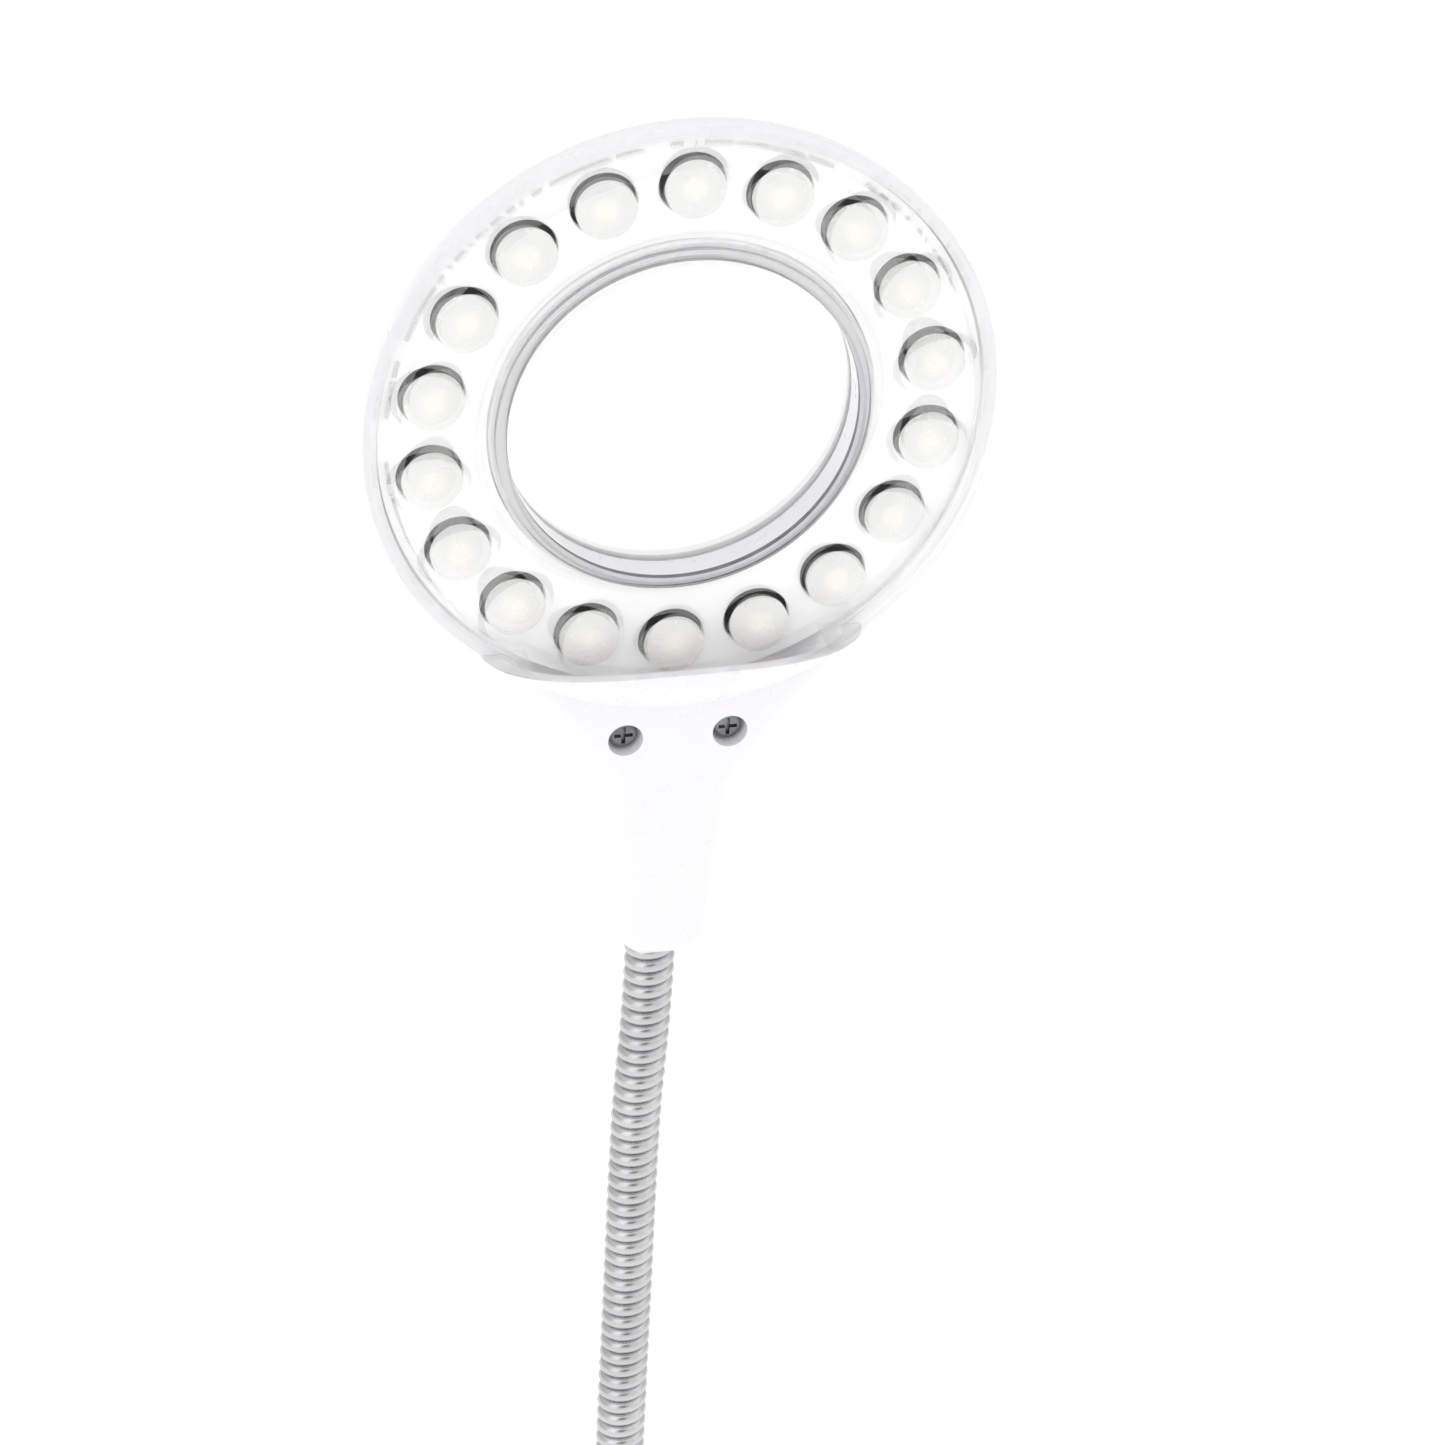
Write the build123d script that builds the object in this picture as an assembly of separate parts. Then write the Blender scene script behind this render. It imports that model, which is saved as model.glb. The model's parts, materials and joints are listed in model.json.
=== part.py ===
"""Flexible ring-light magnifying lamp on a USB plug.

A clear-fronted ring of LEDs round a magnifying lens, on a short white handle. A wound metal gooseneck
carries it from the housing of a USB-A plug. All sizes are in millimetres. The origin is in the middle
of the plug, at the face of its housing; +Z points up the gooseneck, and the lamp shines along -Y.
"""

import os
from math import cos, radians, sin

from build123d import *

# Ring head, measured from its own centre: R is the distance from the ring's axis, y < 0 is the front
TUBE_CIRCLE_R = 30.5  # circle that the middle of the ring's tube follows
TUBE_R = 8.7
PARTING_Y = -0.5  # seam between the clear cover and the white shell
RING_OUTER_R = TUBE_CIRCLE_R + TUBE_R
RING_HOLE_R = TUBE_CIRCLE_R - TUBE_R
RING_BACK_Y = 7.1
RING_BACK_CORNER_R = 7.0
RING_BACK_INNER_CORNER_R = 1.0
COVER_WALL = 1.4
COVER_CUT_Z = -31.0  # below this the front of the ring is white and belongs to the handle's cover
SHELL_WALL = 1.6
INNER_WALL = 2.0  # the shell's wall round the lens is thicker, to take the lens's seat
LIP_R = (36.0, 37.5)  # the cover's locating lip, which drops into the shell
LIP_ROOT = 2.8  # how far the lip's root reaches up into the cover
CLEARANCE = 0.1  # between fixed parts that slide together in assembly

# Lens
LENS_R = 22.5
LENS_SEAT_R = 22.6
LENS_FRONT_Y = 2.8  # front of the rim, against a shoulder in the shell
LENS_RIM = 1.5
LENS_BACK_Y = LENS_FRONT_Y + LENS_RIM
LENS_FRONT_SAG = 2.7  # how far the front face stands above the rim
LENS_BACK_SAG = 0.6
LENS_RING_THICKNESS = 1.2

# LEDs, their board and the white plate in front of it
LED_COUNT = 18
LED_CIRCLE_R = 31.3
LED_R = 3.7
LED_FLANGE_R = 3.95
LED_FLANGE = 1.0
LED_HEIGHT = 5.0
LED_CAP = 1.2
LED_FLAT = 3.75  # distance from the LED's axis to the flat on its flange
LED_LEG_R = 0.25
LED_LEG_LENGTH = 2.3
LED_LEG_SPREAD = 1.27
LEG_HOLE_R = 0.4
PLATE_R = (24.0, 37.3)
PLATE_FRONT_Y = 0.2
PLATE_THICKNESS = 1.2
PLATE_RIM = 0.8
PLATE_HOLE_R = 4.15
BOARD_R = (24.2, 36.4)
BOARD_FRONT_Y = 2.0
BOARD_THICKNESS = 1.2
BOARD_BACK_Y = BOARD_FRONT_Y + BOARD_THICKNESS
POST_CIRCLES_R = (26.0, 35.2)
POST_COUNT = 6
POST_R = 1.1
RESISTOR_COUNT = 6
RESISTOR_SIZE = (2.0, 0.6, 1.25)
RESISTOR_CIRCLE_R = 27.5

# Handle, measured from the ring's centre
HANDLE_BOTTOM = -75.5
HANDLE_FRONT_Y = -5.5
HANDLE_BACK_Y = 6.5
HANDLE_WALL = 1.5
HANDLE_EDGE_R = 3.4
HANDLE_TOP_HALF_WIDTH = 23.3
HANDLE_TOP = -30.0
HANDLE_WAIST_HALF_WIDTH = 7.4
HANDLE_WAIST = -50.3
HANDLE_WAIST_R = 16.0
HANDLE_END_HALF_WIDTH = 5.35
HANDLE_END_R = 3.6
SCREW_X = 6.6
SCREW_Z = -42.0
SCREW_SHANK_R = 1.0
SCREW_HEAD_R = 1.9
SCREW_HEAD = 1.3
SCREW_LENGTH = 7.0
SCREW_SEAT_Y = -3.0
SCREW_SLOT = 0.5
SCREW_SLOT_DEPTH = 0.6
RECESS_R = 2.2
COVER_BOSS_R = 3.0
SHELL_BOSS_R = 2.4
FERRULE_STOP = -65.4  # rib above the upper ferrule
FERRULE_STOP_THICKNESS = 1.2
LEAD_PASSAGE_R = 2.0

# Gooseneck
NECK_R = 3.25  # over the crowns of the winding
NECK_GROOVE_R = 2.65
NECK_BORE_R = 1.75
WINDING_PITCH = 2.0
LINK_LENGTH = 12.0
LINK_COUNT = 21  # the winding is divided into this many short lengths, with a bend between each two
LINK_GAP = 1.1
NECK_SEATED = 8.0  # length of the gooseneck inside the housing at each end
FERRULE_R = 3.75
FERRULE_BORE_R = NECK_R + 0.02
FERRULE_LENGTH = 4.5
FERRULE_SETBACK = 0.3  # from the seated end of the gooseneck
FERRULE_POCKET_R = FERRULE_R + 0.2
NECK_HOLE_R = 3.4
NECK_DRIFT = 1.0  # sideways drift of the gooseneck under the handle
NECK_DRIFT_LENGTH = 32.0

# Leads inside the gooseneck
LEAD_R = 0.5
LEAD_X = 0.62
LEAD_BEND_R = 4.0

# USB plug and its housing
HOUSING_LENGTH = 35.0
HOUSING_HALF_WIDTH = 8.0
HOUSING_SHOULDER_Z = 22.0
HOUSING_SHOULDER_R = 9.0
HOUSING_END_HALF_WIDTH = 5.4
HOUSING_HALF_DEPTH = 5.0
HOUSING_WALL = 1.5
HOUSING_EDGE_R = 1.6
HOUSING_CORNER_R = 1.7
PLUG_WIDTH = 12.0
PLUG_DEPTH = 4.5
PLUG_CORNER_R = 0.6
PLUG_SHEET = 0.3
PLUG_TIP_Z = -11.9
PLUG_TAIL_Z = 6.3
LATCH_HOLE = (2.5, 2.0)
LATCH_HOLE_X = 2.6
LATCH_HOLE_Z = -6.2
TONGUE_TIP_Z = -11.4
TONGUE_ROOT_Z = -2.0
TONGUE_FRONT_Y = 0.1
CONTACT_X = (-3.5, -1.0, 1.0, 3.5)
CONTACT_WIDTH = 1.0
CONTACT_THICKNESS = 0.25
CONTACT_Z = (-10.6, 10.0)
USB_BOARD_Z = (PLUG_TAIL_Z + CLEARANCE, 22.2)
USB_BOARD_WIDTH = 11.6
USB_BOARD_THICKNESS = 1.0
RAIL_WIDTH = 0.8

# Push button on the plug's housing
SWITCH_Z = 16.0
SWITCH_SIDE = 6.0
SWITCH_HEIGHT = 1.8
SWITCH_BORE_R = 1.4
SWITCH_BORE_DEPTH = 1.2
BUTTON_R = 2.0
BUTTON_PROUD = 0.9
BUTTON_FLANGE_R = 2.8
BUTTON_FLANGE = 0.6
BUTTON_STEM_R = 1.15
BUTTON_STEM_INSERTED = 0.2
BUTTON_CLEARANCE = 0.3
BUTTON_EDGE_R = 0.5

NECK_BASE_Z = HOUSING_LENGTH
NECK_TOP_Z = NECK_BASE_Z + LINK_COUNT * LINK_LENGTH
RING_Z = NECK_TOP_Z - HANDLE_BOTTOM
RING_X = 1.7
AT_RING = Pos(RING_X, 0, RING_Z)
FAR = 200.0  # size of the blocks that cut a shape at a plane


# ---------------------------------------------------------------- helpers

def span(low, high):
    """Middle and size of a stretch between two values."""
    return (low + high) / 2, high - low


def rectangle(x_span, y_span):
    """A rectangle between two pairs of values."""
    x_middle, width = span(*x_span)
    y_middle, height = span(*y_span)
    return Pos(x_middle, y_middle) * Rectangle(width, height)


def block(x_span, y_span, z_span):
    """A box between three pairs of values."""
    middles, sizes = zip(span(*x_span), span(*y_span), span(*z_span))
    return Pos(*middles) * Box(*sizes)


def rod(x, z, radius, y_span):
    """A cylinder along Y."""
    y_middle, length = span(*y_span)
    return Pos(x, y_middle, z) * Rot(90, 0, 0) * Cylinder(radius, length)


def post(x, y, radius, z_span):
    """A cylinder along Z."""
    z_middle, length = span(*z_span)
    return Pos(x, y, z_middle) * Cylinder(radius, length)


def in_front_of(y):
    """Everything in front of a plane across Y."""
    return block((-FAR, FAR), (-FAR, y), (-FAR, 3 * FAR))


def behind(y):
    """Everything behind a plane across Y."""
    return block((-FAR, FAR), (y, FAR), (-FAR, 3 * FAR))


def below(z):
    """Everything under a level plane."""
    return block((-FAR, FAR), (-FAR, FAR), (-FAR, z))


def turned(profile):
    """A ring about the Y axis from its section, drawn with R along X."""
    return revolve(profile, Axis.Y)


def on_circle(radius, count, first_degrees):
    """Places evenly round the ring, as (angle in degrees, x, z)."""
    for index in range(count):
        angle = first_degrees + index * 360 / count
        yield angle, radius * cos(radians(angle)), radius * sin(radians(angle))


def slab(outline, y_span, edge_radius):
    """A plate with rounded front and back edges, from an outline drawn with x and z."""
    front, back = y_span
    plate = extrude(Plane.XZ.offset(-back) * outline, amount=back - front)
    faces = plate.faces().sort_by(Axis.Y)
    return fillet(faces[0].edges() + faces[-1].edges(), edge_radius)


def mirrored_outline(half, corners):
    """A closed outline from its right half, with (point's index, radius) for each rounded corner."""
    points = half + [(-x, z) for x, z in reversed(half)]
    outline = make_face(Polyline(*points, close=True))
    for index, radius in corners:
        x, z = half[index]
        chosen = [v for v in outline.vertices() if abs(abs(v.X) - x) < 1e-3 and abs(v.Y - z) < 1e-3]
        outline = fillet(chosen, radius)
    return outline


def write(name, *solids):
    """Writes one node, as one solid or as a group of separate ones."""
    shape = solids[0] if len(solids) == 1 else Compound(children=list(solids))
    export_step(shape, f"parts/{name}.step")


# ---------------------------------------------------------------- ring head

def tube_section(radius):
    """A round section of the ring's tube."""
    return Pos(TUBE_CIRCLE_R, PARTING_Y) * Circle(radius)


def front_wall_section():
    """The front half of the ring's tube: a half circle with an even wall."""
    front_half = rectangle((0, FAR), (-FAR, PARTING_Y))
    return (tube_section(TUBE_R) - tube_section(TUBE_R - COVER_WALL)) & front_half


def ring_cover():
    """Clear front of the ring, with a lip that drops into the shell, cut off straight at the handle."""
    lip = rectangle(LIP_R, (PARTING_Y - LIP_ROOT, PLATE_FRONT_Y))
    return AT_RING * (turned(front_wall_section() + lip) - below(COVER_CUT_Z))


def back_rounded(section, inner_radius, outer_radius):
    """A section of the ring with its two back corners rounded."""
    section = fillet(section.vertices().group_by(Axis.Y)[-1].sort_by(Axis.X)[-1], outer_radius)
    return fillet(section.vertices().group_by(Axis.Y)[-1].sort_by(Axis.X)[0], inner_radius)


def shell_ring():
    """White back of the ring, open at the front, with the lens's seat cut into it from the back."""
    outer = rectangle((RING_HOLE_R, RING_OUTER_R), (PARTING_Y, RING_BACK_Y))
    outer -= rectangle((0, LENS_SEAT_R), (LENS_FRONT_Y, FAR))
    return turned(back_rounded(outer, RING_BACK_INNER_CORNER_R, RING_BACK_CORNER_R))


def shell_ring_cavity():
    """Space for the LEDs and their board inside the shell."""
    cavity = rectangle(
        (RING_HOLE_R + INNER_WALL, RING_OUTER_R - SHELL_WALL), (PARTING_Y, RING_BACK_Y - SHELL_WALL)
    )
    return turned(back_rounded(cavity, RING_BACK_INNER_CORNER_R, RING_BACK_CORNER_R - SHELL_WALL))


def handle_outline():
    """The handle from the front: wide where it meets the ring, then a waist and a round end."""
    half = [
        (HANDLE_TOP_HALF_WIDTH, HANDLE_TOP),
        (HANDLE_WAIST_HALF_WIDTH, HANDLE_WAIST),
        (HANDLE_END_HALF_WIDTH, HANDLE_BOTTOM),
    ]
    return mirrored_outline(half, [(1, HANDLE_WAIST_R), (2, HANDLE_END_R)])


def handle_solid():
    return slab(handle_outline(), (HANDLE_FRONT_Y, HANDLE_BACK_Y), HANDLE_EDGE_R)


def handle_cavity():
    outline = offset(handle_outline(), amount=-HANDLE_WALL)
    y_span = (HANDLE_FRONT_Y + HANDLE_WALL, HANDLE_BACK_Y - HANDLE_WALL)
    return slab(outline, y_span, HANDLE_EDGE_R - HANDLE_WALL)


def neck_socket(x, mouth, inward):
    """Hole that the gooseneck comes through, with a wider pocket for the ferrule on its end."""
    end = mouth + inward * (NECK_SEATED + 0.2)
    pocket_start = end - inward * (FERRULE_LENGTH + 2 * FERRULE_SETBACK + 0.2)
    hole = post(x, 0, NECK_HOLE_R, sorted((mouth - inward, end)))
    return hole + post(x, 0, FERRULE_POCKET_R, sorted((pocket_start, end)))


def handle_hole():
    return neck_socket(NECK_DRIFT - RING_X, HANDLE_BOTTOM, 1)


def ferrule_stop():
    """Rib that keeps the upper ferrule from sliding further into the handle."""
    rib = block(
        (-HANDLE_WAIST_HALF_WIDTH, HANDLE_WAIST_HALF_WIDTH),
        (HANDLE_FRONT_Y, HANDLE_BACK_Y),
        (FERRULE_STOP, FERRULE_STOP + FERRULE_STOP_THICKNESS),
    )
    passage = post(
        NECK_DRIFT - RING_X, 0, LEAD_PASSAGE_R, (FERRULE_STOP - 1, FERRULE_STOP + FERRULE_STOP_THICKNESS + 1)
    )
    return (rib & handle_solid()) - passage


def rear_housing():
    """White shell: back of the ring and back half of the handle in one moulding."""
    back = behind(PARTING_Y)
    handle_back = handle_solid() & back
    bosses = [rod(x, SCREW_Z, SHELL_BOSS_R, (PARTING_Y, HANDLE_BACK_Y - 1)) for x in (-SCREW_X, SCREW_X)]
    ring = shell_ring()
    posts = [
        rod(x, z, POST_R, (BOARD_BACK_Y, RING_BACK_Y - SHELL_WALL / 2)) & ring
        for circle in POST_CIRCLES_R
        for _, x, z in on_circle(circle, POST_COUNT, 10)
    ]
    shell = ring + handle_back - shell_ring_cavity() - handle_cavity()
    shell += bosses + posts + [ferrule_stop() & back]
    for x in (-SCREW_X, SCREW_X):
        shell -= rod(x, SCREW_Z, SCREW_SHANK_R, (PARTING_Y, SCREW_SEAT_Y + SCREW_LENGTH + 0.3))
    return AT_RING * (shell - handle_hole())


def neck_cover():
    """White front half of the handle, with the bottom of the ring's front, and two screw recesses."""
    front = in_front_of(PARTING_Y - CLEARANCE / 2)
    ring_front = turned(front_wall_section()) & front & below(COVER_CUT_Z - CLEARANCE)
    boss_span = (HANDLE_FRONT_Y + HANDLE_WALL / 2, PARTING_Y - CLEARANCE)
    bosses = [rod(x, SCREW_Z, COVER_BOSS_R, boss_span) for x in (-SCREW_X, SCREW_X)]
    handle_front = (handle_solid() & front & below(COVER_CUT_Z - CLEARANCE)) + ring_front
    cover = handle_front - turned(tube_section(TUBE_R - COVER_WALL)) - handle_cavity()
    cover += bosses + [ferrule_stop() & front]
    for x in (-SCREW_X, SCREW_X):
        cover -= rod(x, SCREW_Z, SCREW_SHANK_R + 0.15, (HANDLE_FRONT_Y - 1, 0))
        cover -= rod(x, SCREW_Z, RECESS_R, (HANDLE_FRONT_Y - 1, SCREW_SEAT_Y))
    return AT_RING * (cover - handle_hole())


def neck_screws():
    """Two small cross-head screws that join the handle's halves."""
    screws = []
    for x in (-SCREW_X, SCREW_X):
        head = rod(x, SCREW_Z, SCREW_HEAD_R, (SCREW_SEAT_Y - SCREW_HEAD, SCREW_SEAT_Y))
        head = fillet(head.edges().sort_by(Axis.Y)[0], SCREW_HEAD / 2)
        shank = rod(x, SCREW_Z, SCREW_SHANK_R, (SCREW_SEAT_Y, SCREW_SEAT_Y + SCREW_LENGTH))
        screw = head + shank
        top = (SCREW_SEAT_Y - SCREW_HEAD - 1, SCREW_SEAT_Y - SCREW_HEAD + SCREW_SLOT_DEPTH)
        arm = SCREW_HEAD_R * 0.62
        thin = SCREW_SLOT / 2
        screw -= block((x - arm, x + arm), top, (SCREW_Z - thin, SCREW_Z + thin))
        screw -= block((x - thin, x + thin), top, (SCREW_Z - arm, SCREW_Z + arm))
        screws.append(AT_RING * screw)
    return screws


def lens():
    """Double-convex magnifying lens with a flat rim."""
    edge = RING_HOLE_R - CLEARANCE
    front_top = (0, LENS_FRONT_Y - LENS_FRONT_SAG)
    back_top = (0, LENS_BACK_Y + LENS_BACK_SAG)
    front_edge = (edge, LENS_FRONT_Y)
    back_edge = (edge, LENS_BACK_Y)
    outline = [
        Line(front_top, back_top),
        RadiusArc(back_top, back_edge, face_radius(LENS_BACK_SAG, edge)),
        Polyline(back_edge, (LENS_R, LENS_BACK_Y), (LENS_R, LENS_FRONT_Y), front_edge),
        RadiusArc(front_edge, front_top, face_radius(LENS_FRONT_SAG, edge)),
    ]
    return AT_RING * turned(make_face(outline))


def face_radius(sag, edge):
    """Radius of a domed face, from its height and half its width."""
    return (edge**2 + sag**2) / (2 * sag)


def lens_ring():
    """White ring pressed in behind the lens to hold it against its shoulder."""
    section = rectangle((RING_HOLE_R, LENS_SEAT_R), (LENS_BACK_Y, LENS_BACK_Y + LENS_RING_THICKNESS))
    return AT_RING * turned(section)


def reflector_plate():
    """White ring with a hole round each LED, and two rims that rest on the board."""
    back_y = PLATE_FRONT_Y + PLATE_THICKNESS
    inner, outer = BOARD_R
    section = rectangle(PLATE_R, (PLATE_FRONT_Y, back_y))
    section += rectangle((inner, inner + PLATE_RIM), (back_y, BOARD_FRONT_Y))
    section += rectangle((outer - PLATE_RIM, outer), (back_y, BOARD_FRONT_Y))
    plate = turned(section)
    for _, x, z in on_circle(LED_CIRCLE_R, LED_COUNT, 90):
        plate -= rod(x, z, PLATE_HOLE_R, (PLATE_FRONT_Y - 1, back_y + 0.01))
    return AT_RING * plate


def leg_places():
    """Where the LEDs' legs pass the board: one each side of an LED's middle, along the ring."""
    for angle, x, z in on_circle(LED_CIRCLE_R, LED_COUNT, 90):
        for side in (-LED_LEG_SPREAD, LED_LEG_SPREAD):
            yield x - side * sin(radians(angle)), z + side * cos(radians(angle))


def led_board():
    """Ring-shaped circuit board with a hole for each LED leg."""
    board = turned(rectangle(BOARD_R, (BOARD_FRONT_Y, BOARD_BACK_Y)))
    for x, z in leg_places():
        board -= rod(x, z, LEG_HOLE_R, (BOARD_FRONT_Y - 1, BOARD_BACK_Y + 1))
    return AT_RING * board


def led_body():
    """One LED on the ring's axis: flange with a flat, round body and a low domed cap."""
    flange_y = BOARD_FRONT_Y - LED_FLANGE
    tip_y = BOARD_FRONT_Y - LED_HEIGHT
    cap_radius = face_radius(LED_CAP, LED_R)
    flange = rod(0, 0, LED_FLANGE_R, (flange_y, BOARD_FRONT_Y))
    flange &= block((-FAR, LED_FLAT), (-FAR, FAR), (-FAR, FAR))
    body = rod(0, 0, LED_R, (tip_y, flange_y)) & Pos(0, tip_y + cap_radius, 0) * Sphere(cap_radius)
    return flange + body


def led_bodies():
    body = led_body()
    return [
        AT_RING * Pos(x, 0, z) * Rot(0, 90 - angle, 0) * body
        for angle, x, z in on_circle(LED_CIRCLE_R, LED_COUNT, 90)
    ]


def led_legs():
    leg_span = (BOARD_FRONT_Y, BOARD_FRONT_Y + LED_LEG_LENGTH)
    return [AT_RING * rod(x, z, LED_LEG_R, leg_span) for x, z in leg_places()]


def chip_resistors():
    """Small resistors on the back of the board, one for each group of LEDs."""
    _, thickness, _ = RESISTOR_SIZE
    middle_y = BOARD_BACK_Y + thickness / 2
    return [
        AT_RING * Pos(x, middle_y, z) * Rot(0, -angle, 0) * Box(*RESISTOR_SIZE)
        for angle, x, z in on_circle(RESISTOR_CIRCLE_R, RESISTOR_COUNT, 40)
    ]


# ---------------------------------------------------------------- gooseneck

def neck_x(z):
    """The gooseneck's sideways place: straight, then an easy drift to the handle's hole."""
    run = min(1.0, max(0.0, (z - (NECK_TOP_Z - NECK_DRIFT_LENGTH)) / NECK_DRIFT_LENGTH))
    return NECK_DRIFT * run * run * (3 - 2 * run)


def bend_point(index):
    """Centre of the bend below link number index."""
    z = NECK_BASE_Z + index * LINK_LENGTH
    return Vector(neck_x(z), 0, z)


def link_ends(index):
    """Where a link starts and ends on the gooseneck's centreline, seated lengths included."""
    start = bend_point(index)
    end = bend_point(index + 1)
    along = (end - start).normalized()
    if index == 0:
        start = start - along * NECK_SEATED
    if index == LINK_COUNT - 1:
        end = end + along * NECK_SEATED
    return start, end


def link_frame(index):
    """Location at a link's start, with Z along the link."""
    start, end = link_ends(index)
    return Plane(origin=start, x_dir=(1, 0, 0), z_dir=end - start).location


def gooseneck_link(index):
    """A short length of the wound tube: a crown for each turn of wire, and a bore for the leads."""
    start, end = link_ends(index)
    turns = round((end - start).length / WINDING_PITCH)
    length = (end - start).length
    pitch = length / turns
    crowns = [
        ThreePointArc(
            (NECK_GROOVE_R, turn * pitch), (NECK_R, (turn + 0.5) * pitch), (NECK_GROOVE_R, (turn + 1) * pitch)
        )
        for turn in range(turns)
    ]
    bore = Polyline((NECK_GROOVE_R, length), (NECK_BORE_R, length), (NECK_BORE_R, 0), (NECK_GROOVE_R, 0))
    lower_gap = 0 if index == 0 else LINK_GAP / 2
    upper_gap = 0 if index == LINK_COUNT - 1 else LINK_GAP / 2
    section = make_face(crowns + [bore]) & rectangle((0, FAR), (lower_gap, length - upper_gap))
    return link_frame(index) * revolve(Plane.XZ * section, Axis.Z)


def ferrule(index, from_start):
    """Crimped sleeve on the seated end of the first or last link."""
    start, end = link_ends(index)
    low = FERRULE_SETBACK if from_start else (end - start).length - FERRULE_LENGTH - FERRULE_SETBACK
    sleeve = post(0, 0, FERRULE_R, (low, low + FERRULE_LENGTH))
    sleeve -= post(0, 0, FERRULE_BORE_R, (low - 1, low + FERRULE_LENGTH + 1))
    return link_frame(index) * sleeve


def lead(side):
    """One insulated wire from the plug's board, up the gooseneck, to the back of the LED board."""
    board_y = TONGUE_FRONT_Y - LEAD_R
    led_y = BOARD_BACK_Y + LEAD_R
    points = [
        (side * 1.8, board_y, 19.6),
        (side * 1.8, board_y, 22.6),
        (side * LEAD_X, 0, NECK_BASE_Z - NECK_SEATED - 0.6),
        (side * LEAD_X, 0, NECK_TOP_Z - NECK_DRIFT_LENGTH + 6),
        (NECK_DRIFT + side * LEAD_X, 0, NECK_TOP_Z - 4),
        (NECK_DRIFT + side * LEAD_X, 0, RING_Z + FERRULE_STOP),
        (RING_X + side * 1.5, led_y, RING_Z - 47),
        (RING_X + side * 1.5, led_y, RING_Z - 33.4),
    ]
    path = FilletPolyline(*points, radius=LEAD_BEND_R)
    section = Plane(origin=path @ 0, z_dir=path % 0) * Circle(LEAD_R)
    return sweep(section, path=path)


# ---------------------------------------------------------------- plug, housing and switch

def housing_outline():
    half = [
        (HOUSING_HALF_WIDTH, 0),
        (HOUSING_HALF_WIDTH, HOUSING_SHOULDER_Z),
        (HOUSING_END_HALF_WIDTH, HOUSING_LENGTH),
    ]
    corners = [(0, HOUSING_CORNER_R), (1, HOUSING_SHOULDER_R), (2, HOUSING_CORNER_R)]
    return mirrored_outline(half, corners)


def housing_shell():
    """Hollow plug housing, before it is split: rails carry the board, and each end has an opening."""
    depth = HOUSING_HALF_DEPTH
    body = slab(housing_outline(), (-depth, depth), HOUSING_EDGE_R)
    inner = depth - HOUSING_WALL
    cavity = extrude(
        Plane.XZ.offset(-inner) * offset(housing_outline(), amount=-HOUSING_WALL), amount=2 * inner
    )
    rail_x = USB_BOARD_WIDTH / 2 - RAIL_WIDTH
    rails = [
        block(
            (side * rail_x - RAIL_WIDTH / 2, side * rail_x + RAIL_WIDTH / 2),
            (TONGUE_FRONT_Y + USB_BOARD_THICKNESS, depth - HOUSING_WALL / 2),
            (USB_BOARD_Z[0] + 1, USB_BOARD_Z[1] - 4),
        )
        for side in (-1, 1)
    ]
    plug_space = block(
        (-PLUG_WIDTH / 2, PLUG_WIDTH / 2), (-PLUG_DEPTH / 2, PLUG_DEPTH / 2), (-1, HOUSING_WALL + 1)
    )
    return body - cavity + rails - plug_space - neck_socket(0, HOUSING_LENGTH, -1)


def button_place(radius, y_span):
    """A cylinder along Y on the push button's axis."""
    return rod(0, SWITCH_Z, radius, y_span)


def usb_housing_front():
    hole = button_place(BUTTON_R + BUTTON_CLEARANCE, (-FAR, 0))
    return (housing_shell() & in_front_of(-CLEARANCE / 4)) - hole


def usb_housing_back():
    return housing_shell() & behind(CLEARANCE / 4)


def plug_tube(inset, z_span):
    """A rounded rectangular bar the size of the plug, less an inset all round."""
    section = RectangleRounded(PLUG_WIDTH - 2 * inset, PLUG_DEPTH - 2 * inset, PLUG_CORNER_R - inset * 0.9)
    return Pos(0, 0, z_span[0]) * extrude(section, amount=z_span[1] - z_span[0])


def usb_shell():
    """Folded steel shield of the plug, with four latch windows."""
    shell = plug_tube(0, (PLUG_TIP_Z, PLUG_TAIL_Z)) - plug_tube(PLUG_SHEET, (PLUG_TIP_Z - 1, PLUG_TAIL_Z + 1))
    half_width, half_height = LATCH_HOLE[0] / 2, LATCH_HOLE[1] / 2
    window_z = (LATCH_HOLE_Z - half_height, LATCH_HOLE_Z + half_height)
    for x in (-LATCH_HOLE_X, LATCH_HOLE_X):
        shell -= block((x - half_width, x + half_width), (-FAR, FAR), window_z)
    return shell


def usb_contacts():
    """Four flat springs that lie on the tongue and end on the board."""
    half = CONTACT_WIDTH / 2
    return [
        block((x - half, x + half), (TONGUE_FRONT_Y - CONTACT_THICKNESS, TONGUE_FRONT_Y), CONTACT_Z)
        for x in CONTACT_X
    ]


def usb_tongue():
    """Plastic insert of the plug: a tongue under the contacts and a block that fills the tail."""
    body = plug_tube(PLUG_SHEET + CLEARANCE / 2, (TONGUE_TIP_Z, PLUG_TAIL_Z))
    room = block((-FAR, FAR), (-FAR, TONGUE_FRONT_Y), (TONGUE_TIP_Z - 1, TONGUE_ROOT_Z))
    body -= room
    for strip in usb_contacts():
        body -= strip
    return body


def usb_board():
    half = USB_BOARD_WIDTH / 2
    return block((-half, half), (TONGUE_FRONT_Y, TONGUE_FRONT_Y + USB_BOARD_THICKNESS), USB_BOARD_Z)


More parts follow.
